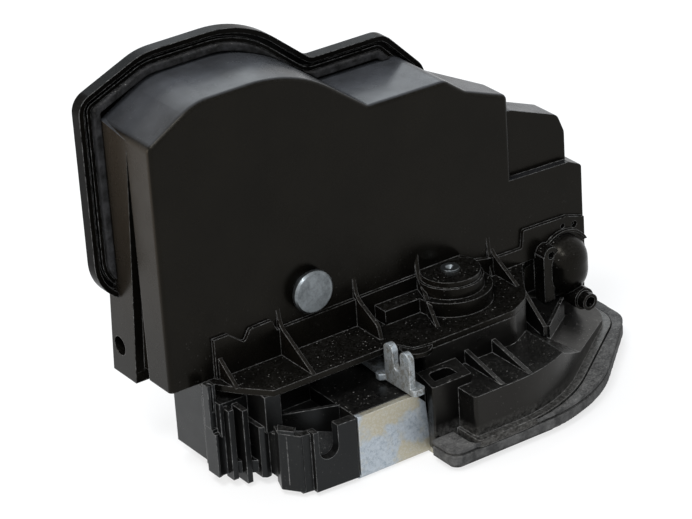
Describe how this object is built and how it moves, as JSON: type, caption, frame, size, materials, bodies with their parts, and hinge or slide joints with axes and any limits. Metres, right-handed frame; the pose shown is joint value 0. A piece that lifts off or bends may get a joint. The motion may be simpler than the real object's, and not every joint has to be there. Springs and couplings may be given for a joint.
{
  "type": "vehicle door latch actuator",
  "caption": "Vehicle door lock module with a rotary latch on a steel shut plate, a tall moulded actuator box, a forked outside-release lever and foam seals",
  "frame": {"origin": "axis of the front shut-plate bolt hole, on the outer face of the steel face plate", "axes": "+Z from the shut plate towards the top of the actuator box, +Y towards the rear cover, +X towards the stepped end with the capped barrel"},
  "size_m": [0.1645, 0.0914, 0.1262],
  "materials": {
    "housing_plastic": "satin moulded glass-filled plastic",
    "cover_plastic": "satin moulded plastic",
    "foam": "dusty closed-cell foam",
    "zinc_steel": "zinc plated, yellowish passivated",
    "bright_steel": "plain bright steel",
    "spring_steel": "oiled spring wire",
    "jacket_plastic": "moulded over the catch",
    "buffer_rubber": "soft rubber",
    "motor_can": "drawn steel can",
    "gear_plastic": "natural acetal",
    "worm_brass": "turned brass",
    "contact_brass": "tinned copper alloy",
    "switch_plastic": "plain",
    "lever_plastic": "grey acetal"
  },
  "bodies": {
    "lock_body": {"actuator_housing": "housing_plastic", "rear_cover": "cover_plastic", "cover_seal": "foam", "cover_screws": "bright_steel", "connector_pins": "contact_brass", "face_plate": "zinc_steel", "back_plate": "zinc_steel", "catch_pin": "bright_steel", "pawl_pin": "bright_steel", "catch_spring": "spring_steel", "pawl_spring": "spring_steel", "striker_buffer": "buffer_rubber", "latch_housing": "housing_plastic", "cable_holder": "housing_plastic", "base_seal": "foam", "lever_pin": "bright_steel", "lever_spring": "spring_steel", "mushroom_stud": "bright_steel", "boss_pin": "bright_steel", "lock_motor": "motor_can", "gear_pin": "bright_steel", "deadlock_motor": "motor_can", "contact_carrier": "switch_plastic", "lead_frame": "contact_brass", "lock_switch": "switch_plastic", "catch_switch": "switch_plastic", "inner_lever_pin": "bright_steel"},
    "catch": {"catch": "zinc_steel", "catch_jacket": "jacket_plastic"},
    "pawl": {"pawl": "zinc_steel"},
    "release_lever": {"release_lever": "zinc_steel"},
    "lock_lever": {"lock_lever": "lever_plastic"},
    "inner_lever": {"inner_release_lever": "zinc_steel"},
    "lock_gear": {"lock_gear": "gear_plastic"},
    "lock_worm": {"lock_worm": "worm_brass"},
    "deadlock_gear": {"deadlock_gear": "gear_plastic"},
    "deadlock_worm": {"deadlock_worm": "worm_brass"}
  },
  "joints": [
    {"name": "catch_pivot", "type": "hinge", "parent": "lock_body", "child": "catch", "pos_m": [0.016, 0.022, 0.004], "axis": [0, 0, 1], "range_deg": [0, 60], "stiffness_Nm_per_rad": 0.05, "springref_deg": -11.46},
    {"name": "pawl_pivot", "type": "hinge", "parent": "lock_body", "child": "pawl", "pos_m": [-0.0165, 0.036, 0.004], "axis": [0, 0, 1], "range_deg": [0, 16], "stiffness_Nm_per_rad": 0.02},
    {"name": "release_lever_pivot", "type": "hinge", "parent": "lock_body", "child": "release_lever", "pos_m": [-0.049, 0.031, 0.022], "axis": [0, 0, 1], "range_deg": [-26, 0], "stiffness_Nm_per_rad": 0.1, "springref_deg": 5.73},
    {"name": "lock_gear_turn", "type": "hinge", "parent": "lock_body", "child": "lock_gear", "pos_m": [-0.0675, 0.038, 0.0795], "axis": [0, 1, 0], "range_deg": [0, 60]},
    {"name": "lock_worm_turn", "type": "hinge", "parent": "lock_body", "child": "lock_worm", "pos_m": [-0.083, 0.0405, 0.0795], "axis": [0, 0, 1], "range_deg": [-1440, 0]},
    {"name": "lock_lever_pivot", "type": "hinge", "parent": "lock_body", "child": "lock_lever", "pos_m": [-0.0081, 0.0207, 0.022], "axis": [0, 0, 1], "range_deg": [0, 24]},
    {"name": "deadlock_gear_turn", "type": "hinge", "parent": "lock_body", "child": "deadlock_gear", "pos_m": [-0.0552, 0.038, 0.0494], "axis": [0, 1, 0], "range_deg": [0, 60]},
    {"name": "deadlock_worm_turn", "type": "hinge", "parent": "lock_body", "child": "deadlock_worm", "pos_m": [-0.0397, 0.0405, 0.0494], "axis": [0, 0, 1], "range_deg": [0, 1440]},
    {"name": "inner_lever_pivot", "type": "hinge", "parent": "lock_body", "child": "inner_lever", "pos_m": [-0.02, 0.0522, 0.041], "axis": [0, 1, 0], "range_deg": [-25, 0], "stiffness_Nm_per_rad": 0.05, "springref_deg": 5.73}
  ],
  "couplings": [
    {"joint": "lock_worm_turn", "follows": "lock_gear_turn", "ratio": -24},
    {"joint": "deadlock_worm_turn", "follows": "deadlock_gear_turn", "ratio": 24},
    {"joint": "lock_lever_pivot", "follows": "lock_gear_turn", "ratio": 0.4}
  ]
}
